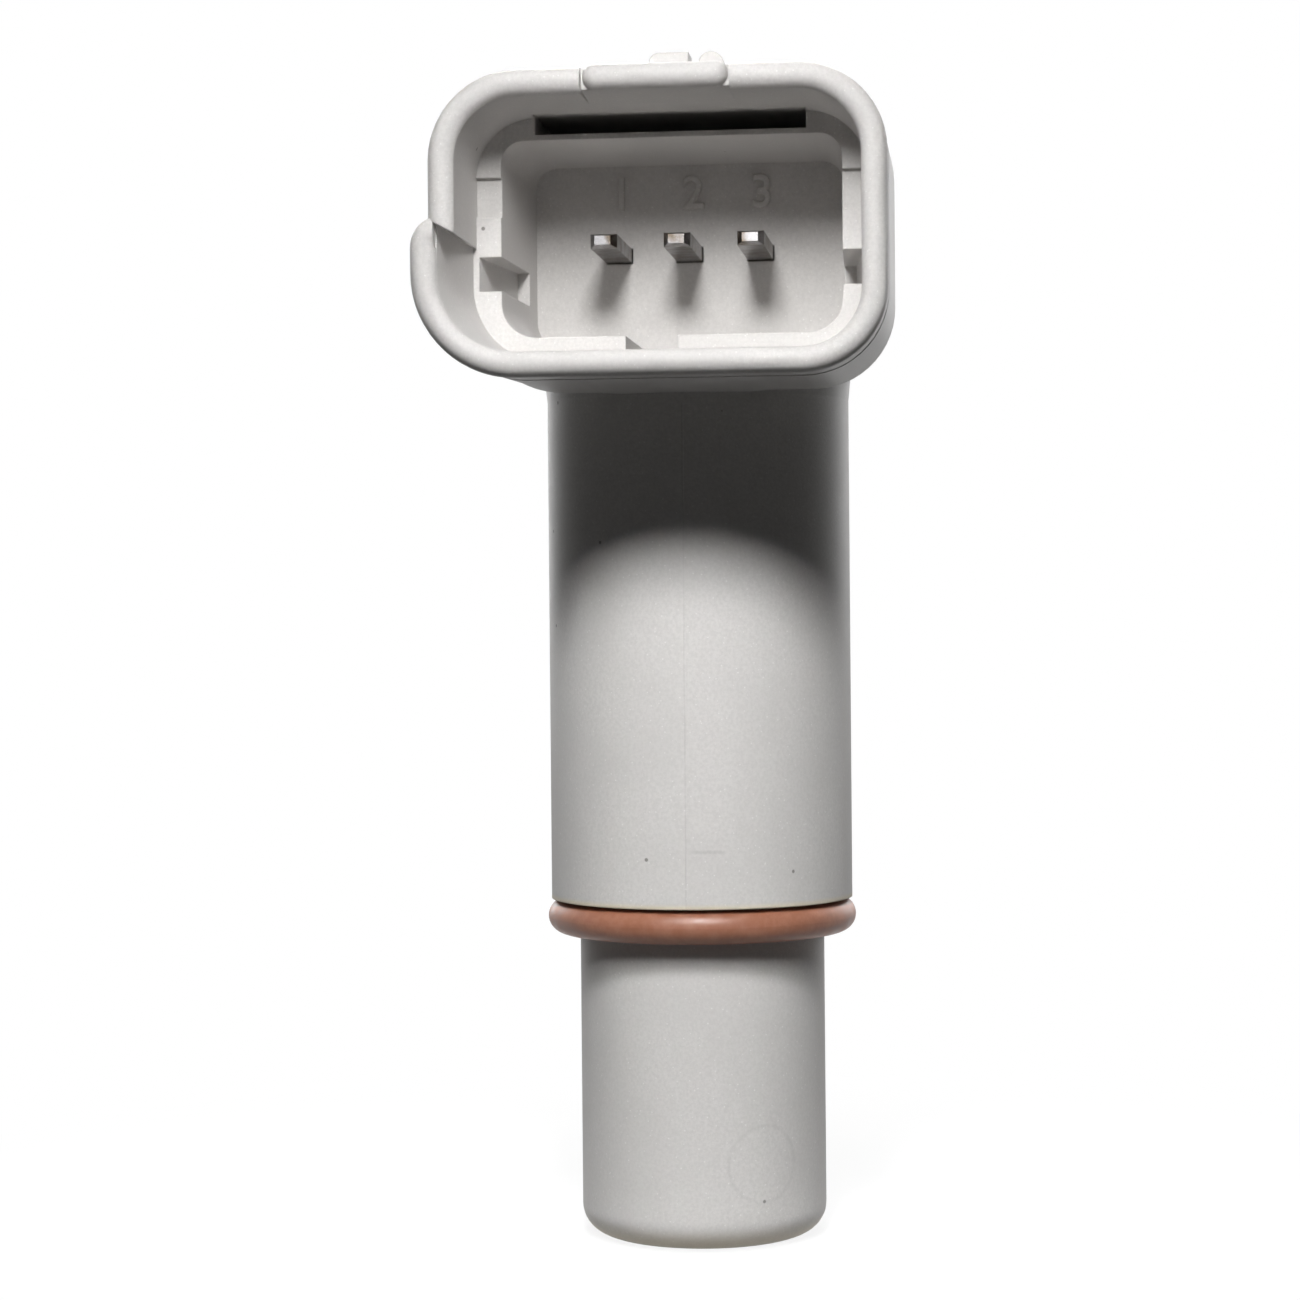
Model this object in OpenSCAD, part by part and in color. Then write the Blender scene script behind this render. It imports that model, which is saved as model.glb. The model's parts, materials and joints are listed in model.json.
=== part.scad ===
// Crankshaft position sensor: moulded probe with a keyed three-blade connector socket.
// The barrel's axis is Z. The seat plane, under the connector and the mounting ear, is z = 0.
// The tip points down, and the connector's mouth faces -Y.

/* [Probe] */
// Diameter of the plain barrel
barrel_d = 18; // [17:0.1:20]
// Length of the barrel below the seat plane
barrel_l = 29.5; // [24:0.5:45]
// Diameter of the sensing tip below the seal ring
tip_d = 14.6; // [14:0.1:16]
// Length of the sensing tip
tip_l = 20; // [16:0.5:30]
// Rounding of the tip's lower edge
tip_edge_r = 1.7; // [0.5:0.1:3]
// Plastic left under the sensing chip
tip_wall = 1.1; // [0.6:0.1:2]
// How far the barrel's root widens above the seat plane, inside the head's rounded underside
root_out = 0.3; // [0.1:0.05:0.5]
// Height of that root above the seat plane
root_h = 3; // [2:0.1:5]

/* [Seal ring] */
// Thickness of the ring's round section
ring_section = 2; // [1.6:0.1:3]
// Depth of the groove that locates the ring
groove_depth = 0.15; // [0.1:0.05:0.6]
// Clearance between the ring and its groove
ring_gap = 0.05; // [0.02:0.01:0.15]

/* [Connector shroud] */
// Outside width of the shroud at its mouth
shroud_w = 24.3; // [23:0.1:30]
// Outside height of the shroud
shroud_h = 16.2; // [15.5:0.1:20]
// Wall of the shroud at its mouth
shroud_wall = 1.3; // [1:0.1:2]
// Distance from the barrel's axis to the mouth plane
mouth_reach = 21.9; // [20:0.1:30]
// Depth from the mouth plane to the step face inside
mouth_depth = 7.75; // [6:0.25:10]
// Outside radius of the two upper corners
top_corner_r = 4.7; // [3:0.1:6]
// Outside radius of the lower right corner
low_corner_r = 4.5; // [3:0.1:6]
// Outside radius of the flared lower left corner
flare_corner_r = 5.6; // [4:0.1:6]
// How far the lower left wall flares out at the mouth
flare_out = 1; // [0.5:0.1:1.5]
// How far the lower left wall still stands out at the step face
flare_root = 0.2; // [0.1:0.05:0.4]
// Height of the flare's shoulder
flare_top = 8.6; // [8:0.1:10]
// Height inside the shroud where the flared wall begins
flare_inner_top = 7.7; // [6.2:0.1:8]
// How far the rounded rim stands proud of the wall's faces
rim_lip = 0.05; // [0.03:0.01:0.1]
// Distance from the mouth to the fine groove round the shroud
line_back = 2.6; // [2:0.1:5]
// Width of that groove
line_w = 0.5; // [0.2:0.05:1]
// Depth of that groove
line_d = 0.15; // [0.05:0.05:0.3]
// Length of the wide shroud behind the mouth
collar_l = 12.4; // [11:0.1:14]
// How far the shroud stands out from the head at each side
collar_lip = 0.9; // [0.3:0.1:1.2]

/* [Head] */
// Distance from the barrel's axis to the head's back
head_back = 10; // [9:0.5:12]
// Radius of the head's upper edges
head_top_r = 4; // [2:0.1:5]
// Radius of the head's lower edges
head_low_r = 8; // [4:0.1:9]
// Radius of the head's back corners
head_back_r = 6.5; // [4:0.1:8]
// Slope of the head's top towards the back, in degrees
head_slope = 22; // [5:1:35]
// Distance behind the socket floor where that slope begins
slope_start = 3.4; // [2:0.1:6]

/* [Socket] */
// Width of the socket at the step face
socket_w = 18.9; // [18:0.1:19.4]
// Height of the socket
socket_h = 10.9; // [10:0.1:11]
// Height of the socket's lower face above the seat plane
socket_z = 2.75; // [2.4:0.05:3]
// Depth from the step face to the socket floor
socket_depth = 10.25; // [8:0.25:12]
// Radius of the socket's upper corners
socket_top_r = 1.3; // [0.6:0.1:2]
// Radius of the socket's lower corners
socket_low_r = 1.9; // [0.6:0.1:2.4]
// Draft of the socket's side walls, in degrees
socket_draft = 2.2; // [0.5:0.1:3]
// Depth of the keyways from the step face
key_depth = 8; // [5:0.5:9.5]
// Width of the keyway above the socket
top_key_w = 15; // [8:0.1:15.5]
// Height of the keyway above the socket
top_key_h = 1.05; // [0.6:0.05:1.1]
// Thickness of the web under that keyway
top_key_web = 0.3; // [0.2:0.05:0.5]
// Height of the side keyways' lower face above the seat plane
side_key_z = 5.35; // [4.8:0.05:5.5]
// Height of the side keyways
side_key_h = 1.9; // [1.2:0.1:2.4]
// How far the side keyways reach past the socket's walls at the step face
side_key_out = 1.25; // [0.6:0.05:1.3]
// How far the side keyways still reach past the walls at their inner end
side_key_end = 0.4; // [0.2:0.05:0.6]
// Width of the keyway in the socket's lower face
low_key_w = 2.9; // [2:0.1:5]
// Offset of that keyway from the connector's middle
low_key_x = -1.1; // [-2:0.1:2]
// Depth of that keyway below the socket's lower face
low_key_d = 0.85; // [0.4:0.05:1]
// Height of the key blocks between the side keyways and the pockets above them
block_h = 2.2; // [1:0.1:3]
// Height of those pockets
pocket_h = 2.2; // [1:0.1:3]
// Depth of those pockets
pocket_d = 0.35; // [0.1:0.05:0.5]

/* [Lock bar] */
// Width of the raised lock bar in the upper rim
bar_w = 7.7; // [5:0.1:10]
// Height of the lock bar
bar_h = 1.35; // [1:0.05:1.5]
// How far the lock bar stands above the shroud
bar_rise = 0.2; // [0.1:0.05:0.5]
// Length of the raised strip that carries the lock bar
bar_l = 4.2; // [3.5:0.1:5.5]
// Gap between the lock bar's round ends and the rim
bar_gap = 0.1; // [0.05:0.05:0.4]
// Height of the two catch lugs above the lock bar's strip
lug_h = 0.85; // [0.6:0.05:1.6]
// Length of the catch lugs
lug_l = 1.8; // [1:0.1:2.5]
// Distance from the mouth to the catch lugs
lug_back = 2.4; // [2:0.1:3]
// Width of the square lug
lug_w = 2.1; // [1:0.1:2.5]
// Rounding of the square lug's outer corner
lug_corner_r = 0.5; // [0.2:0.05:0.6]
// Offset of the square lug's middle
lug_x = 0.55; // [-1:0.05:0.8]
// Width of the round lug
round_lug_w = 1.35; // [0.8:0.05:1.6]
// Offset of the round lug's middle
round_lug_x = 2.8; // [2.6:0.05:3]

/* [Mounting ear] */
// Distance from the barrel's axis to the bolt's axis
ear_reach = 20; // [18:0.5:26]
// Radius of the ear's round end
ear_r = 7.5; // [6.5:0.1:8.5]
// Thickness of the ear
ear_t = 8; // [6:0.5:10]
// Rounding of the ear's upper edge
ear_edge_r = 0.8; // [0.3:0.1:1.5]
// Bolt hole through the steel bush
bush_bore = 6.5; // [5.2:0.1:7]
// Outside diameter of the steel bush
bush_d = 9.5; // [8:0.1:11]
// Edge break on the steel bush's outside
bush_edge = 0.3; // [0.1:0.05:0.5]

/* [Terminals] */
// Distance between the terminals in the socket
pin_pitch = 4.15; // [3.5:0.05:4.8]
// Height of the terminals' middle above the seat plane
pin_z = 8.4; // [8:0.05:8.8]
// Length of the blades in front of the socket floor
pin_reach = 7.65; // [5:0.05:9]
// Width of a blade
blade_w = 1.5; // [1.2:0.1:2]
// Thickness of a blade
blade_t = 0.8; // [0.6:0.05:1]
// Length of the chamfers on a blade's end
blade_point = 0.6; // [0.2:0.05:0.8]
// Depth of the chamfers on the sides of a blade's end
blade_side_cut = 0.3; // [0.1:0.05:0.4]
// Depth of the chamfers above and below a blade's end
blade_face_cut = 0.15; // [0.05:0.05:0.25]
// Inside radius of a terminal's bend
bend_r = 0.6; // [0.4:0.1:1]
// Width of a terminal's tail along the carrier
tail_w = 0.9; // [0.7:0.05:1.1]
// Distance between the tails along the carrier
tail_pitch = 1.5; // [1.3:0.05:1.8]
// Height where the tails begin to draw together
jog_z = 4.5; // [4:0.1:5]
// Height over which the tails draw together
jog_h = 3.5; // [2.5:0.1:4]
// How far the tails reach below the barrel's lower end
tail_reach = 4; // [3:0.1:6]

/* [Sensing core] */
// Diameter of the carrier
carrier_d = 10.4; // [9:0.1:11]
// Distance from the barrel's axis to the carrier's flat
carrier_flat = 3; // [2.8:0.1:3.5]
// Height of the carrier's top above the seat plane
carrier_top = 0.5; // [-1:0.1:0.8]
// Diameter of the bias magnet
magnet_d = 5; // [3:0.1:5.2]
// Length of the bias magnet
magnet_l = 5; // [3:0.1:8]
// Thickness of the pole plate
plate_t = 1; // [0.5:0.1:2]
// Width of the sensing chip
chip_w = 4.1; // [3.6:0.1:5]
// Depth of the sensing chip
chip_d = 3.1; // [2.5:0.1:4]
// Thickness of the sensing chip
chip_t = 1.6; // [1.2:0.1:2]
// Distance between the chip's legs
lead_pitch = 1.27; // [1.2:0.01:1.5]
// Width and thickness of the chip's legs
lead_s = 0.4; // [0.3:0.05:0.5]
// Length over which a leg lies on its terminal
weld_l = 2.5; // [1:0.1:4]
// Length of a capacitor across two tails
cap_l = 2; // [1.6:0.1:2.6]
// Height of a capacitor along the tails
cap_h = 1.25; // [0.8:0.05:1.6]
// Thickness of a capacitor
cap_t = 0.8; // [0.5:0.05:1.2]
// Depth of the upper capacitor's middle below the seat plane
cap_drop = 13; // [8:0.5:18]
// Distance between the two capacitors along the tails
cap_step = 4; // [2:0.5:6]
// Clearance between the housing and the pieces moulded into it
insert_gap = 0.05; // [0.02:0.01:0.1]

/* [Hidden] */
$fn = 96;

// Length by which a cutting shape runs past the face that it cuts
over = 1;

// Main planes of the connector, along Y
mouth_y = -mouth_reach;
step_y = mouth_y + mouth_depth;
floor_y = step_y + socket_depth;
collar_y = mouth_y + collar_l;

// Main heights of the probe, along Z
shoulder_z = -barrel_l;
tip_z = -barrel_l - tip_l;
chip_z = tip_z + tip_wall;
chip_top = chip_z + chip_t;
magnet_z = chip_top + plate_t;
tail_z = shoulder_z - tail_reach;

// Seal ring: it rests under the barrel's shoulder, round the groove's floor
ring_r = ring_section / 2;
ring_path_r = tip_d / 2 - groove_depth + ring_gap + ring_r;
ring_z = shoulder_z - ring_gap - ring_r;
groove_w = ring_section + 2 * ring_gap;

// Inside of the shroud's mouth
inner_w = shroud_w - 2 * shroud_wall;
inner_h = shroud_h - 2 * shroud_wall;
shroud_corners = [top_corner_r, top_corner_r, low_corner_r, flare_corner_r];
inner_corners = [for (r = shroud_corners) r - shroud_wall];
inner_top = shroud_h - shroud_wall;

// Fine groove round the shroud
line_y = mouth_y + line_back;
line_end = line_y + line_w;

// Flare of the lower left wall: it turns about a line just behind the step face
flare_turn = atan((flare_out - flare_root) / mouth_depth);
flare_hinge_x = -shroud_w / 2;
flare_hinge_y = step_y + flare_root / tan(flare_turn);
flare_left = -shroud_w / 2 - flare_out;
shoulder_r = flare_out + shroud_wall / 2;
shoulder_x = flare_left + shoulder_r;
shoulder_mid = flare_top - shoulder_r;
flare_face = -inner_w / 2 - flare_out;
function ceiling_z(x) = flare_inner_top + (-inner_w / 2 - x) * shroud_wall / 2 / (flare_out + flare_root);

// Rounded rim: its middle line runs along the middle of the wall
rim_r = shroud_wall / 2 + rim_lip;
rim_y = mouth_y + rim_r;
rim_half = shroud_w / 2 - shroud_wall / 2;
rim_low = shroud_wall / 2;
rim_high = shroud_h - shroud_wall / 2;
rim_top_r = top_corner_r - shroud_wall / 2;
rim_low_r = low_corner_r - shroud_wall / 2;
rim_flare_r = flare_corner_r - shroud_wall / 2;
rim_flare_half = rim_half + flare_out;
rim_turn_r = shoulder_r - shroud_wall / 2;

// Head behind the shroud
head_w = shroud_w - 2 * collar_lip;
slope_y = floor_y + slope_start;

// Lock bar
bar_r = bar_h / 2;
bar_top = shroud_h + bar_rise;
bar_z = bar_top - bar_r;
bar_y = mouth_y + bar_r;
bar_end_x = bar_w / 2 - bar_r;
bar_gap_x = bar_w / 2 + bar_gap;
strip_r = bar_r - rim_lip;
strip_end = mouth_y + bar_l;
lug_y = mouth_y + lug_back;

// Terminals: the tails lie on the carrier's flat
tail_y = carrier_flat;
bend_y = tail_y - bend_r;
bend_z = pin_z - blade_t / 2 - bend_r;
blade_tip_y = floor_y - pin_reach;
lead_y = tail_y + blade_t;

module along_y(y0, y1) {
    translate([0, y1, 0])
        rotate([90, 0, 0])
            linear_extrude(y1 - y0)
                children();
}

// Rectangle standing on the X axis, with a radius for each corner:
// upper left, upper right, lower right, lower left
module soft_rect(w, h, r) {
    x = w / 2;
    polygon([[-x, r[3]], [-x, h - r[0]], [-x + r[0], h], [x - r[1], h],
             [x, h - r[1]], [x, r[2]], [x - r[2], 0], [-x + r[3], 0]]);
    translate([-x + r[0], h - r[0]]) circle(r[0]);
    translate([x - r[1], h - r[1]]) circle(r[1]);
    translate([x - r[2], r[2]]) circle(r[2]);
    translate([-x + r[3], r[3]]) circle(r[3]);
}

// Turns the children about the flare's hinge line, so that the mouth end moves left
module flare_turned() {
    translate([flare_hinge_x, flare_hinge_y, 0])
        rotate([0, 0, -flare_turn])
            translate([-flare_hinge_x, -flare_hinge_y, 0])
                children();
}

// Half section of barrel and tip, turned about the barrel's axis
module probe() {
    r = tip_d / 2;
    rotate_extrude() {
        polygon([[0, 0], [barrel_d / 2, 0], [barrel_d / 2 + root_out, root_h], [0, root_h]]);
        translate([0, shoulder_z]) square([barrel_d / 2, barrel_l]);
        translate([0, shoulder_z - groove_w]) square([r - groove_depth, groove_w + over]);
        translate([0, tip_z + tip_edge_r]) square([r, tip_l - tip_edge_r - groove_w]);
        translate([0, tip_z]) square([r - tip_edge_r, tip_edge_r + over]);
        translate([r - tip_edge_r, tip_z + tip_edge_r]) circle(tip_edge_r);
    }
}

// Shroud's outline, set in by the given length
module shroud_outline(inset = 0) {
    translate([0, inset])
        soft_rect(shroud_w - 2 * inset, shroud_h - 2 * inset, [for (r = shroud_corners) r - inset]);
}

// Outside of the shroud's flared lower left wall
module flare_wall(y0, y1, inset = 0) {
    intersection() {
        flare_turned()
            along_y(mouth_y - over, collar_y + over) shroud_outline(inset);
        along_y(y0, y1) {
            translate([flare_left - over, -over])
                square([-flare_left + over, shoulder_mid + over]);
            translate([shoulder_x, 0]) square([-shoulder_x, flare_top - inset]);
            translate([shoulder_x, shoulder_mid]) circle(shoulder_r - inset);
        }
    }
}

// Area under the slanted end of the straight wall above the flare, right of the given x
module under_ceiling(x) {
    polygon([[x, 0], [0, 0], [0, flare_inner_top], [-inner_w / 2, flare_inner_top], [x, ceiling_z(x)]]);
}

// Outside of the shroud, with a fine groove round it
module shroud() {
    for (span = [[rim_y, line_y], [line_end, collar_y]]) {
        along_y(span[0], span[1]) shroud_outline();
        flare_wall(span[0], span[1]);
    }
    along_y(rim_y, collar_y) shroud_outline(line_d);
    flare_wall(rim_y, collar_y, line_d);
}

// Room inside the flared wall
module flare_room() {
    intersection() {
        flare_turned()
            along_y(mouth_y - 2 * over, step_y + over)
                translate([0, shroud_wall]) soft_rect(inner_w, inner_h, inner_corners);
        along_y(mouth_y - over, step_y) under_ceiling(flare_face - flare_root);
    }
}

// Head over the barrel: rounded at the back, with a top that slopes down behind the socket
module head() {
    x = head_w / 2;
    difference() {
        intersection() {
            along_y(collar_y - over, head_back)
                soft_rect(head_w, shroud_h, [head_top_r, head_top_r, head_low_r, head_low_r]);
            translate([0, 0, -over]) linear_extrude(shroud_h + 2 * over) {
                translate([-x, collar_y - over])
                    square([head_w, head_back - head_back_r - collar_y + over]);
                translate([-x + head_back_r, collar_y])
                    square([head_w - 2 * head_back_r, head_back - collar_y]);
                for (s = [-1, 1])
                    translate([s * (x - head_back_r), head_back - head_back_r])
                        circle(head_back_r);
            }
        }
        translate([-shroud_w, slope_y, shroud_h])
            rotate([-head_slope, 0, 0])
                cube([2 * shroud_w, 2 * mouth_reach, shroud_h]);
    }
}

// Half of the ear's section, with a rounded upper edge
module ear_half() {
    polygon([[0, 0], [ear_r, 0], [ear_r, ear_t - ear_edge_r], [ear_r - ear_edge_r, ear_t], [0, ear_t]]);
    translate([ear_r - ear_edge_r, ear_t - ear_edge_r]) circle(ear_edge_r);
}

module ear() {
    translate([0, ear_reach, 0]) rotate_extrude(angle = 180) ear_half();
    for (s = [0, 1])
        along_y(0, ear_reach) mirror([s, 0]) ear_half();
}

// Straight piece of the rim between two points of the mouth plane, each given as [x, z]
module rim_run(a, b) {
    d = b - a;
    translate([a[0], rim_y, a[1]])
        rotate([0, atan2(d[0], d[1]), 0])
            cylinder(r = rim_r, h = norm(d));
}

// Round piece of the rim: centre [x, z], radius, start angle from +X towards +Z, and turn
module rim_bend(c, r, start, turn) {
    translate([c[0], rim_y, c[1]])
        rotate([90, 0, 0])
            rotate([0, 0, start])
                rotate_extrude(angle = turn)
                    translate([r, 0]) circle(rim_r);
}

module rim() {
    right_x = rim_half - rim_low_r;
    left_x = -rim_flare_half + rim_flare_r;
    top_x = rim_half - rim_top_r;
    top_z = rim_high - rim_top_r;
    for (s = [-1, 1])
        rim_run([s * bar_gap_x, rim_high], [s * top_x, rim_high]);
    rim_bend([top_x, top_z], rim_top_r, 0, 90);
    rim_run([rim_half, rim_low + rim_low_r], [rim_half, top_z]);
    rim_bend([right_x, rim_low + rim_low_r], rim_low_r, 270, 90);
    rim_run([left_x, rim_low], [right_x, rim_low]);
    rim_bend([left_x, rim_low + rim_flare_r], rim_flare_r, 180, 90);
    rim_run([-rim_flare_half, rim_low + rim_flare_r], [-rim_flare_half, shoulder_mid]);
    difference() {
        union() {
            rim_bend([-rim_flare_half + rim_turn_r, shoulder_mid], rim_turn_r, 90, 90);
            rim_run([-rim_half, flare_inner_top - rim_lip], [-rim_half, top_z]);
        }
        along_y(mouth_y - over, rim_y + rim_r + over) under_ceiling(flare_face);
    }
    rim_bend([-top_x, top_z], rim_top_r, 90, 90);
}

// Half section of the lock bar's round-ended front edge
module bar_half() {
    intersection() {
        translate([0, -bar_w / 2]) square([bar_r, bar_w]);
        union() {
            translate([0, -bar_end_x]) square([bar_r, 2 * bar_end_x]);
            for (s = [-1, 1])
                translate([0, s * bar_end_x]) circle(bar_r);
        }
    }
}

// Lock bar, its raised strip and the two catch lugs behind it
module lock_bar() {
    lug_top = bar_top + lug_h;
    lug_left = lug_x - lug_w / 2;
    translate([0, bar_y, bar_z]) rotate([0, 90, 0]) rotate_extrude() bar_half();
    along_y(bar_y, strip_end) {
        translate([-bar_end_x, bar_z - strip_r]) square([2 * bar_end_x, 2 * strip_r]);
        for (s = [-1, 1])
            translate([s * bar_end_x, bar_z]) circle(strip_r);
    }
    along_y(lug_y, lug_y + lug_l) {
        polygon([[lug_left, bar_z], [lug_left, lug_top - lug_corner_r], [lug_left + lug_corner_r, lug_top],
                 [lug_left + lug_w, lug_top], [lug_left + lug_w, bar_z]]);
        translate([lug_left + lug_corner_r, lug_top - lug_corner_r]) circle(lug_corner_r);
        translate([round_lug_x - round_lug_w / 2, bar_z])
            square([round_lug_w, lug_top - round_lug_w / 2 - bar_z]);
        translate([round_lug_x, lug_top - round_lug_w / 2]) circle(round_lug_w / 2);
    }
}

// Room in the shroud for the mating plug: the wide mouth, the socket and its keyways
module plug_room() {
    socket_top = socket_z + socket_h;
    corners = [socket_top_r, socket_top_r, socket_low_r, socket_low_r];
    key_end = step_y + key_depth;
    along_y(mouth_y - over, step_y)
        translate([0, shroud_wall]) soft_rect(inner_w, inner_h, inner_corners);
    flare_room();
    intersection() {
        along_y(step_y - over, floor_y) translate([-shroud_w / 2, 0]) square([shroud_w, shroud_h]);
        for_draft(-1) along_y(step_y - 2 * over, floor_y + 2 * over)
            translate([0, socket_z]) soft_rect(socket_w, socket_h, corners);
        for_draft(1) along_y(step_y - 2 * over, floor_y + 2 * over)
            translate([0, socket_z]) soft_rect(socket_w, socket_h, corners);
    }
    along_y(step_y - over, key_end) {
        translate([-top_key_w / 2, socket_top + top_key_web]) square([top_key_w, top_key_h]);
        translate([low_key_x - low_key_w / 2, socket_z - low_key_d])
            square([low_key_w, low_key_d + over]);
    }
    for (s = [0, 1])
        mirror([s, 0, 0]) side_key_room(key_end);
}

// Keyway in a side wall, narrowing with depth, and the shallow pocket in the step face above it
module side_key_room(key_end) {
    x = socket_w / 2;
    translate([0, 0, side_key_z]) linear_extrude(side_key_h)
        polygon([[0, step_y - over], [x + side_key_out, step_y - over], [x + side_key_out, step_y],
                 [x + side_key_end, key_end], [0, key_end]]);
    translate([x - over, step_y - over, side_key_z + side_key_h + block_h])
        cube([inner_w / 2 - x + over, over + pocket_d, pocket_h]);
}

// Turns the children about the socket's front edge on one side, so that this wall leans inwards
module for_draft(side) {
    translate([side * socket_w / 2, step_y, 0])
        rotate([0, 0, side * socket_draft])
            translate([-side * socket_w / 2, -step_y, 0])
                children();
}

// Room cut into the upper wall under the lock bar, shallower towards the back
module bar_room() {
    strip_low = bar_z - strip_r;
    translate([-bar_gap_x, 0, 0]) rotate([90, 0, 90]) linear_extrude(2 * bar_gap_x)
        polygon([[mouth_y - over, inner_top - over], [strip_end, inner_top - over], [strip_end, inner_top],
                 [rim_y, strip_low], [mouth_y - over, strip_low]]);
}

// Stamped terminal: a blade along Y, a bend, and a tail that runs down the carrier's flat.
// grow widens it on every side, for the room that it takes in the housing.
module terminal_shape(i, grow = 0) {
    top_x = i * pin_pitch;
    low_x = i * tail_pitch;
    half = blade_w / 2 + grow;
    low_half = tail_w / 2 + grow;
    thick = blade_t + 2 * grow;
    translate([top_x - half, bend_y, bend_z])
        rotate([90, 0, 90])
            rotate_extrude(angle = 90)
                translate([bend_r - grow, 0]) square([thick, 2 * half]);
    along_y(tail_y - grow, tail_y + blade_t + grow)
        polygon([[top_x - half, bend_z], [top_x - half, jog_z],
                 [low_x - low_half, jog_z - jog_h], [low_x - low_half, tail_z - grow],
                 [low_x + low_half, tail_z - grow], [low_x + low_half, jog_z - jog_h],
                 [top_x + half, jog_z], [top_x + half, bend_z]]);
}

// Blade of a terminal, with chamfers on all four edges of its end
module blade(i) {
    x = blade_w / 2;
    z = blade_t / 2;
    point_y = blade_tip_y + blade_point;
    translate([i * pin_pitch, 0, pin_z])
        intersection() {
            translate([0, 0, -z]) linear_extrude(blade_t)
                polygon([[-x, bend_y], [-x, point_y], [-x + blade_side_cut, blade_tip_y],
                         [x - blade_side_cut, blade_tip_y], [x, point_y], [x, bend_y]]);
            translate([-x, 0, 0]) rotate([90, 0, 90]) linear_extrude(blade_w)
                polygon([[bend_y, -z], [point_y, -z], [blade_tip_y, -z + blade_face_cut],
                         [blade_tip_y, z - blade_face_cut], [point_y, z], [bend_y, z]]);
        }
}

module terminal(i) {
    color("darkkhaki") {
        terminal_shape(i);
        blade(i);
    }
}

// Carrier's outline: a round bar with one flat
module carrier_shape(grow = 0) {
    r = carrier_d / 2 + grow;
    intersection() {
        translate([0, 0, chip_top]) cylinder(r = r, h = carrier_top - chip_top + grow);
        translate([-2 * r, -2 * r, chip_top - over])
            cube([4 * r, 2 * r + carrier_flat + grow, carrier_top - chip_top + 2 * over]);
    }
}

module chip_shape(grow = 0) {
    translate([-chip_w / 2 - grow, -chip_d / 2 - grow, chip_z - grow])
        cube([chip_w + 2 * grow, chip_d + 2 * grow, chip_t + grow]);
}

// Chip's leg: out of the chip's back, then up onto the terminal's tail
module lead_shape(i, grow = 0) {
    s = lead_s + 2 * grow;
    x = i * lead_pitch - lead_s / 2 - grow;
    z = chip_z + (chip_t - lead_s) / 2 - grow;
    translate([x, chip_d / 2, z]) cube([s, lead_y + lead_s + grow - chip_d / 2, s]);
    translate([x, lead_y - grow, z]) cube([s, s, tail_z + weld_l + grow - z]);
}

module capacitor_shape(k, grow = 0) {
    x = (k - 0.5) * tail_pitch;
    z = -cap_drop - k * cap_step;
    translate([x - cap_l / 2 - grow, lead_y - grow, z - cap_h / 2 - grow])
        cube([cap_l + 2 * grow, cap_t + 2 * grow, cap_h + 2 * grow]);
}

// Room in the housing for all that is moulded into it
module core_room() {
    g = insert_gap;
    carrier_shape(g);
    chip_shape(g);
    for (i = [-1:1]) {
        terminal_shape(i, g);
        translate([i * pin_pitch - blade_w / 2 - g, floor_y - over, pin_z - blade_t / 2 - g])
            cube([blade_w + 2 * g, bend_y - floor_y + over, blade_t + 2 * g]);
        lead_shape(i, g);
    }
    for (k = [0, 1])
        capacitor_shape(k, g);
}

module housing() {
    color("gainsboro") {
        difference() {
            union() {
                probe();
                shroud();
                head();
                ear();
            }
            plug_room();
            bar_room();
            core_room();
            translate([0, ear_reach, -over])
                cylinder(d = bush_d + 2 * insert_gap, h = ear_t + 2 * over);
        }
        rim();
        lock_bar();
    }
}

module o_ring() {
    color("sienna")
        translate([0, 0, ring_z])
            rotate_extrude()
                translate([ring_path_r, 0]) circle(ring_r);
}

module mount_bush() {
    r = bush_d / 2;
    color("silver")
        translate([0, ear_reach, 0])
            rotate_extrude()
                polygon([[bush_bore / 2, 0], [r - bush_edge, 0], [r, bush_edge], [r, ear_t - bush_edge],
                         [r - bush_edge, ear_t], [bush_bore / 2, ear_t]]);
}

module carrier() {
    color("dimgray")
        difference() {
            carrier_shape();
            translate([0, 0, chip_top - over])
                cylinder(d = magnet_d + 2 * insert_gap, h = plate_t + magnet_l + over);
        }
}

module magnet() {
    color("slategray")
        translate([0, 0, magnet_z]) cylinder(d = magnet_d, h = magnet_l);
}

module pole_plate() {
    color("silver")
        translate([0, 0, chip_top]) cylinder(d = magnet_d, h = plate_t);
}

module hall_chip() {
    color("black") chip_shape();
}

module hall_lead(i) {
    color("lightgray") lead_shape(i);
}

module capacitor(k) {
    color("tan") capacitor_shape(k);
}

housing();
o_ring();
mount_bush();
terminal(-1);  // terminal_1
terminal(0);  // terminal_2
terminal(1);  // terminal_3
carrier();
magnet();
pole_plate();
hall_chip();
hall_lead(-1);  // hall_lead_1
hall_lead(0);  // hall_lead_2
hall_lead(1);  // hall_lead_3
capacitor(0);  // capacitor_1
capacitor(1);  // capacitor_2
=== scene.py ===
import json
import math

import bpy
from mathutils import Matrix, Vector


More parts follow.
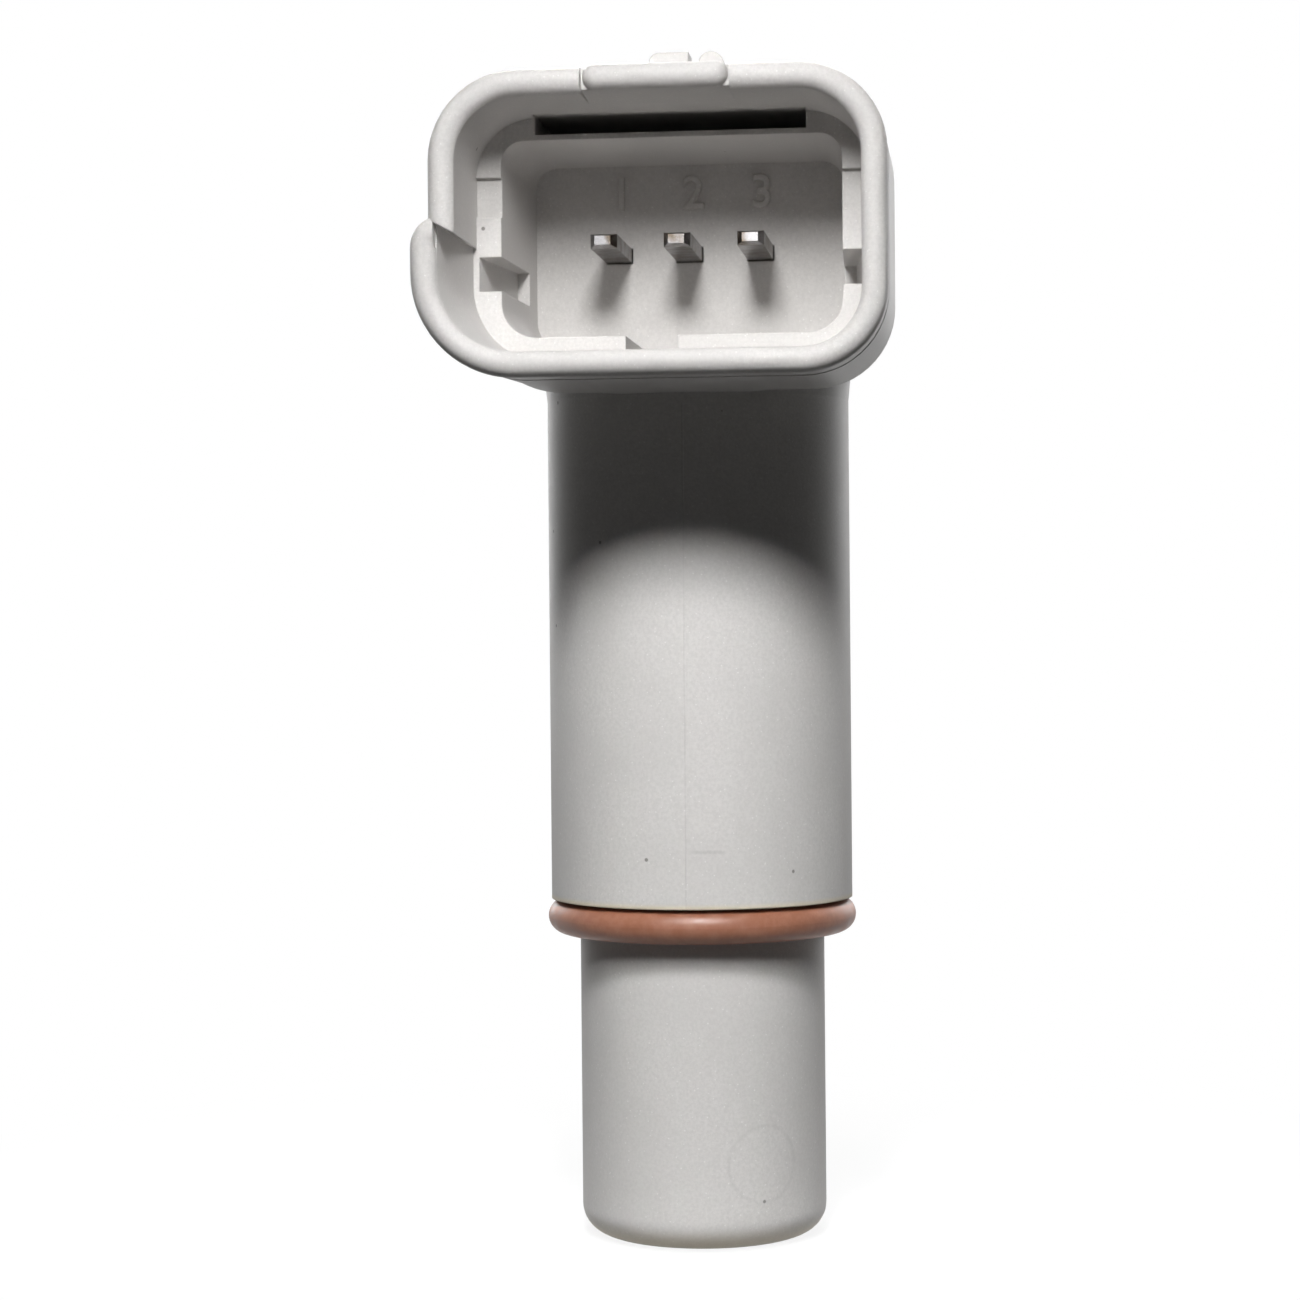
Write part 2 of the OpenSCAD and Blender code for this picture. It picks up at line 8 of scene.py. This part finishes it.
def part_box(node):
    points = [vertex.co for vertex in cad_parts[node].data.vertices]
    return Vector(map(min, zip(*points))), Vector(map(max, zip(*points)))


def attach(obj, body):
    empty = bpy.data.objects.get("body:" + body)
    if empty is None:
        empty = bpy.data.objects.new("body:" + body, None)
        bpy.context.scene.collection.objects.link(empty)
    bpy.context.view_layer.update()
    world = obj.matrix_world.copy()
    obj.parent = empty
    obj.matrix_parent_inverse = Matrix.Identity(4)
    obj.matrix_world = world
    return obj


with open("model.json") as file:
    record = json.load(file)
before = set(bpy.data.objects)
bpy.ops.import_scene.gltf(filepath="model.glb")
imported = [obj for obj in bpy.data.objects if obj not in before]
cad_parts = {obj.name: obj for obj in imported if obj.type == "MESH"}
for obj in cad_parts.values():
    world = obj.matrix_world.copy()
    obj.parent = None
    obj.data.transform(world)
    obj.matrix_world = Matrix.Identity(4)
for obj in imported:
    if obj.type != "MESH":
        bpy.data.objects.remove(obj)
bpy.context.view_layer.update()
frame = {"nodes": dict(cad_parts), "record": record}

# Lengths and places are in millimetres, in the part's own frame, unless a name says otherwise
MM = 0.001
BODY = "root"

# Places on the part
TIP_Z = (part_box("housing")[0] / MM).z
TIP_R = 7.3
SHOULDER_Z = -29.5
SOCKET_FLOOR_Y = -3.9

# Pin numbers, raised on the socket floor: what each says and how far right of the middle it stands
NUMBERS = {"1": -4.0, "2": 0.25, "3": 4.25}
NUMBER_Z = 11.1
NUMBER_SIZE = 2.7
NUMBER_RELIEF = 0.16
NUMBER_BEVEL = NUMBER_RELIEF / 3
NUMBER_SHARP = math.radians(35)

# Marks on the probe's front: each fade says from where to where a mark comes in
FRONT_FADE = (-TIP_R + 1.0, -TIP_R + 0.5)
SEAM_FADE = (0.07, 0.0)
SEAM_TOP_FADE = (0.0, -1.0)
SEAM_FOOT_FADE = (SHOULDER_Z - 0.5, SHOULDER_Z)
EJECTOR_TURN = math.radians(33.8)
EJECTOR_Z = -44.5
EJECTOR_R = 2.2
EJECTOR_FADE = (0.22, 0.0)
SCRATCH_Z = -26.2
SCRATCH_X = 1.25
SCRATCH_FADE = (0.16, 0.02)
SCRATCH_END_FADE = (1.3, 0.5)

# Housing plastic: colours, lumps per millimetre, and how far each effect shows
PLASTIC_GREY = (0.56, 0.55, 0.53)
PLASTIC_ROUGH = 0.45
PLASTIC_ROUGH_RANGE = (0.38, 0.56)
PLASTIC_SPECULAR = 0.15
GRAIN_DARK = (0.535, 0.520, 0.506)
GRAIN_PALE = (0.598, 0.582, 0.566)
GRAIN_PER_MM = 5.5
GRAIN_ROUGH_FADE = (0.3, 0.75)
CLOUD_GREY = (0.505, 0.492, 0.478)
CLOUDS_PER_MM = 0.16
CLOUD_FADE = (0.35, 0.68)
CLOUD_SHARE = 0.35
# Painted glints: tiny white flecks in the colour stand for the glass filler catching light
GLINT_WHITE = (0.86, 0.86, 0.84)
GLINTS_PER_MM = 2.6
GLINT_FADE = (0.16, 0.05)
GLINT_SHARE = 0.35
SPECK_BROWN = (0.06, 0.05, 0.04)
SPECKS_PER_MM = 0.27
SPECK_FADE = (0.038, 0.02)
SPECK_SHARE = 0.65
# Painted glow: amber on the barrel's and the tip's lower edges stands for light catching and shining
# through the thin plastic there
AMBER_EDGE_GLOW = (0.66, 0.56, 0.36)
BARREL_GLOW_FADES = ((SHOULDER_Z + 0.4, SHOULDER_Z), (SHOULDER_Z - 0.3, SHOULDER_Z))
BARREL_GLOW_SHARE = 0.6
TIP_GLOW_FADE = (TIP_Z + 1.6, TIP_Z)
TIP_GLOW_SHARE = 0.5
MARK_GREY = (0.2, 0.2, 0.19)
MOULD_MARK_SHARE = 0.08
SCRATCH_SHARE = 0.2
EDGE_ROUND = 0.14
EDGE_SAMPLES = 6
DIMPLES_PER_MM = 7.0

# Seal rubber
RUBBER_BROWN = (0.31, 0.14, 0.09)
RUBBER_ROUGH = 0.4
RUBBER_ROUGH_RANGE = (0.36, 0.52)
RUBBER_SPECULAR = 0.5
BLOOM_DARK = (0.235, 0.088, 0.045)
BLOOM_PALE = (0.295, 0.126, 0.076)
BLOOM_PER_MM = 1.2
RUBBER_GRAIN_PER_MM = 9.0

# Stretches of a noise factor over which a finish turns from one tone to the other
EVEN_FADE = (0.3, 0.7)
LATE_FADE = (0.35, 0.7)

# Metals: the tarnished and the clean colour, the roughness, and how closely streaks lie along each axis
STREAKS_PER_MM = 6.0
TARNISH_PER_MM = 0.9
METAL_SMOOTHER, METAL_ROUGHER = 0.07, 0.1
NO_STREAK = (1.0, 1.0, 1.0)
ROUND_AXIS = (1.0, 1.0, 12.0)
ALONG_BLADE = (12.0, 1.0, 12.0)
METALS = {
    "bush_steel": ((0.36, 0.35, 0.33), (0.55, 0.54, 0.52), 0.4, ROUND_AXIS),
    "terminal_tin": ((0.11, 0.085, 0.06), (0.30, 0.295, 0.30), 0.28, ALONG_BLADE),
    "magnet_alloy": ((0.18, 0.18, 0.19), (0.30, 0.30, 0.32), 0.5, NO_STREAK),
    "plate_steel": ((0.40, 0.40, 0.40), (0.58, 0.58, 0.58), 0.35, NO_STREAK),
    "lead_tin": ((0.50, 0.50, 0.47), (0.72, 0.72, 0.70), 0.3, NO_STREAK),
}

# Dull plastics and ceramic: the dark and the pale colour of the grain, and the roughness
DULL_GRAIN_PER_MM = 6.0
DULL_SMOOTHER, DULL_ROUGHER = 0.06, 0.08
DULL_PLASTICS = {
    "carrier_plastic": ((0.03, 0.03, 0.03), (0.06, 0.06, 0.06), 0.5),
    "chip_epoxy": ((0.015, 0.015, 0.015), (0.03, 0.03, 0.03), 0.55),
    "capacitor_ceramic": ((0.36, 0.25, 0.14), (0.48, 0.35, 0.21), 0.4),
}

# The photograph's camera, fitted to the part's edges
PHOTO_SIDE_PX = 1300
CAMERA_AT = (17.62, -175.99, -12.91)
CAMERA_YAW = math.radians(-6.688)
CAMERA_PITCH = math.radians(-0.595)
CAMERA_ROLL = math.radians(-0.509)
FOCAL_PX = 2951.3
SENSOR_WIDTH = 36.0
CLIP_START = 5.0

# Lamps, powers in watts: a distant key and a small near one in front, two at the sides, one behind
KEY_AT = (15.0, -350.0, 252.0)
KEY_AIM = (0.0, -10.0, -10.0)
KEY_SIZE = 105.0
KEY_POWER = 1.1
NEAR_AT = (2.5, -57.0, 28.6)
NEAR_AIM = (0.0, -9.0, -12.0)
NEAR_SIZE = 12.0
NEAR_POWER = 9.6
SIDE_PLACES = ((-105.0, 150.0, 40.0), (105.0, 150.0, 40.0))
SIDE_POWER = 0.1
BACK_AT = (0.0, 170.0, 150.0)
BACK_POWER = 0.36
FILL_AIM = (0.0, 0.0, -12.0)
FILL_SIZE = 130.0

# Surroundings: how bright the world lights matt surfaces, and rays to which world and floor are white
WORLD_FILL = 0.006
SEEN_RAYS = ("Is Camera Ray", "Is Glossy Ray", "Is Transmission Ray")

# Floor: its shadow fades out over SHADOW_REACH from the foot, and its bounce over BOUNCE_REACH
FLOOR_HALF = 900.0
FLOOR_Z = TIP_Z - 0.02
FLOOR_ROUGH = 0.9
SHADOW_REACH = (20.0, 60.0)
SHADOW_WHITE = 0.88
SEEN_WHITE = (0.9, 0.9, 0.9)
BOUNCE_REACH = (10.0, 22.0)
BOUNCE_NEAR = (0.32, 0.32, 0.32)
BOUNCE_FAR = (0.04, 0.04, 0.04)


def metres(point):
    """A point in millimetres as a vector in metres."""
    return Vector(point) * MM


def add_object(name, data):
    """A new object of that data in the scene."""
    made = bpy.data.objects.new(name, data)
    bpy.context.scene.collection.objects.link(made)
    return made


# Materials


class Finish:
    """One procedural material, built round a Principled shader, with object coordinates in metres."""

    def __init__(self, name, color, roughness, constants=None):
        self.material = bpy.data.materials.new(name)
        self.material.use_nodes = True
        self.tree = self.material.node_tree
        self.shader = self.tree.nodes["Principled BSDF"]
        self.where = self.node("ShaderNodeTexCoord").outputs["Object"]
        values = {"Base Color": (*color, 1.0), "Roughness": roughness, **(constants or {})}
        for key, value in values.items():
            self.put(self.shader.inputs[key], value)

    def node(self, kind, inputs=None, **settings):
        """A new node with those settings, and with values or links on its inputs."""
        made = self.tree.nodes.new(kind)
        for key, value in settings.items():
            setattr(made, key, value)
        for key, value in (inputs or {}).items():
            self.put(made.inputs[key], value)
        return made

    def put(self, socket, value):
        """A link into the socket from another one, or else a plain value on it."""
        if isinstance(value, bpy.types.NodeSocket):
            self.tree.links.new(value, socket)
        else:
            socket.default_value = value

    def noise(self, per_mm, detail=3.0, rough=0.5, stretch=None):
        """Noise with that many lumps per millimetre, as a factor about one half."""
        where = self.where
        if stretch:
            where = self.node("ShaderNodeMapping", {"Vector": where, "Scale": stretch}).outputs["Vector"]
        inputs = {"Vector": where, "Scale": per_mm / MM, "Detail": detail, "Roughness": rough}
        return self.node("ShaderNodeTexNoise", inputs).outputs["Fac"]

    def cells(self, per_mm):
        """Distance to the nearest of scattered points, that many per millimetre."""
        inputs = {"Vector": self.where, "Scale": per_mm / MM}
        return self.node("ShaderNodeTexVoronoi", inputs).outputs["Distance"]

    def span(self, value, low, high, to_low=0.0, to_high=1.0):
        """value between low and high, mapped smoothly to to_low and to_high and held there."""
        inputs = {"Value": value, 1: low, 2: high, 3: to_low, 4: to_high}
        made = self.node("ShaderNodeMapRange", inputs, interpolation_type="SMOOTHSTEP")
        return made.outputs["Result"]

    def math(self, operation, first, second=0.0):
        """The result of that operation on one value or two."""
        return self.node("ShaderNodeMath", {0: first, 1: second}, operation=operation).outputs["Value"]

    def product(self, first, *others):
        """Several values multiplied together."""
        for other in others:
            first = self.math("MULTIPLY", first, other)
        return first

    def off(self, value, middle):
        """How far value is from middle, on either side."""
        return self.math("ABSOLUTE", self.math("SUBTRACT", value, middle))

    def mix(self, share, first, second):
        """The first colour with that share of the second."""
        made = self.node("ShaderNodeMix", data_type="RGBA")
        colors = [c if isinstance(c, bpy.types.NodeSocket) else (*c, 1.0) for c in (first, second)]
        for index, value in ((0, share), (6, colors[0]), (7, colors[1])):
            self.put(made.inputs[index], value)
        return made.outputs[2]

    def place(self, axis):
        """One coordinate of the point, in millimetres."""
        parts = self.node("ShaderNodeSeparateXYZ", {"Vector": self.where})
        return self.math("MULTIPLY", parts.outputs[axis], 1 / MM)

    def distance(self, point_mm):
        """Distance from a point, in millimetres."""
        inputs = {0: self.where, 1: metres(point_mm)}
        apart = self.node("ShaderNodeVectorMath", inputs, operation="DISTANCE").outputs["Value"]
        return self.math("MULTIPLY", apart, 1 / MM)

    def bump(self, height, depth_mm, strength):
        """Fine relief on the surface, over any that was put there before."""
        inputs = {"Height": height, "Distance": depth_mm * MM, "Strength": strength}
        normal = self.shader.inputs["Normal"]
        if normal.is_linked:
            inputs["Normal"] = normal.links[0].from_socket
        self.put(normal, self.node("ShaderNodeBump", inputs).outputs["Normal"])

    def soft_edges(self, radius_mm):
        """Edges shaded as if they were rounded by that radius."""
        soft = self.node("ShaderNodeBevel", {"Radius": radius_mm * MM}, samples=EDGE_SAMPLES)
        self.put(self.shader.inputs["Normal"], soft.outputs["Normal"])

    def color(self, value):
        """The surface takes that colour."""
        self.put(self.shader.inputs["Base Color"], value)

    def roughness(self, value):
        """The surface takes that roughness."""
        self.put(self.shader.inputs["Roughness"], value)


def seam_mark(look):
    """Where the mould's seam runs down the barrel's front."""
    z = look.place("Z")
    return look.product(
        look.span(look.off(look.place("X"), 0.0), *SEAM_FADE),
        look.span(look.place("Y"), *FRONT_FADE),
        look.span(z, *SEAM_TOP_FADE),
        look.span(z, *SEAM_FOOT_FADE),
    )


def ejector_mark(look):
    """Where an ejector pin left its ring on the tip."""
    centre = (TIP_R * math.sin(EJECTOR_TURN), -TIP_R * math.cos(EJECTOR_TURN), EJECTOR_Z)
    return look.span(look.off(look.distance(centre), EJECTOR_R), *EJECTOR_FADE)


def scratch_mark(look):
    """Where a short level scratch runs across the barrel's front, above the seal ring."""
    return look.product(
        look.span(look.off(look.place("Z"), SCRATCH_Z), *SCRATCH_FADE),
        look.span(look.off(look.place("X"), SCRATCH_X), *SCRATCH_END_FADE),
        look.span(look.place("Y"), *FRONT_FADE),
    )


def housing_plastic():
    """Light grey glass-filled plastic with painted white glints, soft clouds, dark specks, and a painted
    amber glow on the lower edges.
    """
    look = Finish("housing_plastic", PLASTIC_GREY, PLASTIC_ROUGH, {"Specular IOR Level": PLASTIC_SPECULAR})
    grain = look.noise(GRAIN_PER_MM, rough=0.65)
    clouds = look.span(look.noise(CLOUDS_PER_MM), *CLOUD_FADE, to_high=CLOUD_SHARE)
    # Painted glints: scattered white flecks mixed into the colour
    painted_glints = look.span(look.cells(GLINTS_PER_MM), *GLINT_FADE, to_high=GLINT_SHARE)
    specks = look.span(look.cells(SPECKS_PER_MM), *SPECK_FADE, to_high=SPECK_SHARE)
    z = look.place("Z")
    # Painted glow: amber bands at the barrel's lower edge and the tip's lower edge
    barrel_edge_glow = look.product(*(look.span(z, *fade) for fade in BARREL_GLOW_FADES), BARREL_GLOW_SHARE)
    tip_edge_glow = look.span(z, *TIP_GLOW_FADE, to_high=TIP_GLOW_SHARE)
    seam = seam_mark(look)
    ring = ejector_mark(look)
    mould_marks = look.product(look.math("MAXIMUM", seam, ring), MOULD_MARK_SHARE)
    scratch = look.product(scratch_mark(look), SCRATCH_SHARE)

    color = look.mix(look.span(grain, *EVEN_FADE), GRAIN_DARK, GRAIN_PALE)
    color = look.mix(clouds, color, CLOUD_GREY)
    # The painted glints go into the colour here
    color = look.mix(painted_glints, color, GLINT_WHITE)
    # The painted amber glow on the lower edges goes into the colour here
    color = look.mix(barrel_edge_glow, color, AMBER_EDGE_GLOW)
    color = look.mix(tip_edge_glow, color, AMBER_EDGE_GLOW)
    color = look.mix(specks, color, SPECK_BROWN)
    look.color(look.mix(look.math("MAXIMUM", mould_marks, scratch), color, MARK_GREY))
    look.roughness(look.span(grain, *GRAIN_ROUGH_FADE, *PLASTIC_ROUGH_RANGE))
    look.soft_edges(EDGE_ROUND)
    look.bump(look.noise(DIMPLES_PER_MM, rough=0.6), depth_mm=0.02, strength=0.35)
    look.bump(seam, depth_mm=0.02, strength=0.6)
    look.bump(ring, depth_mm=-0.02, strength=0.4)
    return look.material


def seal_rubber():
    """Brown moulded rubber, slightly shiny, with a paler dusty bloom."""
    look = Finish("seal_rubber", RUBBER_BROWN, RUBBER_ROUGH, {"Specular IOR Level": RUBBER_SPECULAR})
    bloom = look.noise(BLOOM_PER_MM, detail=4.0, rough=0.6)
    look.color(look.mix(look.span(bloom, *LATE_FADE), BLOOM_DARK, BLOOM_PALE))
    look.roughness(look.span(bloom, *EVEN_FADE, *RUBBER_ROUGH_RANGE))
    look.bump(look.noise(RUBBER_GRAIN_PER_MM, detail=2.0), depth_mm=0.01, strength=0.3)
    return look.material


def metal(name, dark, bright, roughness, streak):
    """Plated or turned metal with fine streaks and a slightly uneven tone."""
    look = Finish(name, bright, roughness, {"Metallic": 1.0})
    streaks = look.noise(STREAKS_PER_MM, stretch=streak)
    tarnish = look.noise(TARNISH_PER_MM)
    look.color(look.mix(look.span(tarnish, *LATE_FADE), bright, dark))
    look.roughness(look.span(streaks, *EVEN_FADE, roughness - METAL_SMOOTHER, roughness + METAL_ROUGHER))
    look.bump(streaks, depth_mm=0.006, strength=0.3)
    return look.material


def dull_plastic(name, dark, pale, roughness):
    """Moulded plastic or ceramic with a fine even grain."""
    look = Finish(name, pale, roughness)
    grain = look.noise(DULL_GRAIN_PER_MM)
    look.color(look.mix(look.span(grain, *EVEN_FADE), dark, pale))
    look.roughness(look.span(grain, *EVEN_FADE, roughness - DULL_SMOOTHER, roughness + DULL_ROUGHER))
    look.bump(grain, depth_mm=0.01, strength=0.3)
    return look.material


def make_materials():
    """Every material slot's finish."""
    return {
        "housing_plastic": housing_plastic(),
        "seal_rubber": seal_rubber(),
        **{name: metal(name, *values) for name, values in METALS.items()},
        **{name: dull_plastic(name, *values) for name, values in DULL_PLASTICS.items()},
    }


# Pieces


def give_finish(piece, name):
    """The piece's surface takes that slot's finish."""
    piece.data.materials.clear()
    piece.data.materials.append(FINISHES[name])


def dress(piece, name):
    """The piece rides on the part and takes that slot's finish."""
    give_finish(piece, name)
    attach(piece, BODY)


def add_number(text, x):
    """A number raised on the socket floor above its pin, smooth but for its sharp edges."""
    curve = bpy.data.curves.new("number_" + text, "FONT")
    curve.body = text
    curve.align_x = "CENTER"
    curve.size = NUMBER_SIZE * MM
    curve.extrude = NUMBER_RELIEF * MM
    curve.bevel_depth = NUMBER_BEVEL * MM
    letter = add_object("letter_" + text, curve)
    evaluated = letter.evaluated_get(bpy.context.evaluated_depsgraph_get())
    mesh = bpy.data.meshes.new_from_object(evaluated)
    bpy.data.objects.remove(letter)
    mesh.transform(Matrix.Rotation(math.radians(90), 4, "X"))
    mesh.transform(Matrix.Translation(metres((x, SOCKET_FLOOR_Y, NUMBER_Z))))
    for face in mesh.polygons:
        face.use_smooth = True
    mesh.set_sharp_from_angle(angle=NUMBER_SHARP)
    dress(add_object("pin_number_" + text, mesh), "housing_plastic")


# Stage


def add_camera():
    """The camera that took the photograph."""
    ahead = Vector((
        math.sin(CAMERA_YAW) * math.cos(CAMERA_PITCH),
        math.cos(CAMERA_YAW) * math.cos(CAMERA_PITCH),
        math.sin(CAMERA_PITCH),
    ))
    level = Vector((math.cos(CAMERA_YAW), -math.sin(CAMERA_YAW), 0.0))
    upright = level.cross(ahead)
    right = math.cos(CAMERA_ROLL) * level + math.sin(CAMERA_ROLL) * upright
    up = math.cos(CAMERA_ROLL) * upright - math.sin(CAMERA_ROLL) * level
    data = bpy.data.cameras.new("camera")
    data.sensor_width = SENSOR_WIDTH
    data.lens = FOCAL_PX / PHOTO_SIDE_PX * SENSOR_WIDTH
    data.clip_start = CLIP_START * MM
    camera = add_object("camera", data)
    turn = Matrix((right, up, -ahead)).transposed().to_4x4()
    camera.matrix_world = Matrix.Translation(metres(CAMERA_AT)) @ turn
    bpy.context.scene.camera = camera


def add_lamp(name, at, aim, size, power, even=False):
    """A round soft lamp at one point, aimed at another. An even lamp is as bright far off as near."""
    data = bpy.data.lights.new(name, "AREA")
    data.shape = "DISK"
    data.size = size * MM
    data.energy = power
    if even:
        data.use_nodes = True
        tree = data.node_tree
        fall = tree.nodes.new("ShaderNodeLightFalloff")
        fall.inputs["Strength"].default_value = 1.0
        tree.links.new(fall.outputs["Constant"], tree.nodes["Emission"].inputs["Strength"])
    lamp = add_object(name, data)
    direction = metres(aim) - metres(at)
    turn = direction.to_track_quat("-Z", "Y").to_matrix().to_4x4()
    lamp.matrix_world = Matrix.Translation(metres(at)) @ turn
    lamp.visible_camera = False


def seen_directly(tree):
    """One for a ray by which the surface is seen, straight or in gloss or glass, and nought for others."""
    path = tree.nodes.new("ShaderNodeLightPath")
    seen = path.outputs[SEEN_RAYS[0]]
    for ray in SEEN_RAYS[1:]:
        either = tree.nodes.new("ShaderNodeMath")
        either.operation = "MAXIMUM"
        tree.links.new(seen, either.inputs[0])
        tree.links.new(path.outputs[ray], either.inputs[1])
        seen = either.outputs["Value"]
    return seen


def add_world():
    """White to the camera and in reflections, and a low even fill on matt surfaces."""
    world = bpy.data.worlds.new("studio")
    bpy.context.scene.world = world
    world.use_nodes = True
    tree = world.node_tree
    background = tree.nodes["Background"]
    background.inputs["Color"].default_value = (1.0, 1.0, 1.0, 1.0)
    level = tree.nodes.new("ShaderNodeMapRange")
    level.inputs["To Min"].default_value = WORLD_FILL
    level.inputs["To Max"].default_value = 1.0
    tree.links.new(seen_directly(tree), level.inputs["Value"])
    tree.links.new(level.outputs["Result"], background.inputs["Strength"])


def floor_white():
    """Matt white, lit to pure white for the camera apart from the part's own shadow near its foot."""
    look = Finish("floor_white", SEEN_WHITE, FLOOR_ROUGH, {"Specular IOR Level": 0.0})
    away = look.distance((0.0, 0.0, FLOOR_Z))
    white = look.span(away, *SHADOW_REACH, SHADOW_WHITE, 1.0)
    bounce = look.mix(look.span(away, *BOUNCE_REACH), BOUNCE_NEAR, BOUNCE_FAR)
    seen = seen_directly(look.tree)
    look.color(look.mix(seen, bounce, SEEN_WHITE))
    glow = look.node("ShaderNodeEmission", {"Strength": 1.0})
    inputs = {
        0: look.product(white, seen),
        1: look.shader.outputs["BSDF"],
        2: glow.outputs["Emission"],
    }
    shown = look.node("ShaderNodeMixShader", inputs)
    look.put(look.tree.nodes["Material Output"].inputs["Surface"], shown.outputs["Shader"])
    return look.material


def add_floor():
    """A pale floor just under the tip."""
    half = FLOOR_HALF * MM
    z = FLOOR_Z * MM
    mesh = bpy.data.meshes.new("floor")
    corners = [(-half, -half, z), (half, -half, z), (half, half, z), (-half, half, z)]
    mesh.from_pydata(corners, [], [(0, 1, 2, 3)])
    mesh.materials.append(floor_white())
    floor = add_object("floor", mesh)


FINISHES = make_materials()
SLOT_OF = {part["node"]: part["material_slot"] for part in frame["record"]["subparts"]}

for node_name, node_object in frame["nodes"].items():
    give_finish(node_object, SLOT_OF[node_name])

for number, number_x in NUMBERS.items():
    add_number(number, number_x)

add_camera()
add_world()
add_floor()
add_lamp("key", KEY_AT, KEY_AIM, KEY_SIZE, KEY_POWER)
add_lamp("near", NEAR_AT, NEAR_AIM, NEAR_SIZE, NEAR_POWER, even=True)
for side_at in SIDE_PLACES:
    add_lamp("side", side_at, FILL_AIM, FILL_SIZE, SIDE_POWER)
add_lamp("back", BACK_AT, FILL_AIM, FILL_SIZE, BACK_POWER)

bpy.context.scene.view_settings.view_transform = "Standard"

bpy.context.view_layer.update()
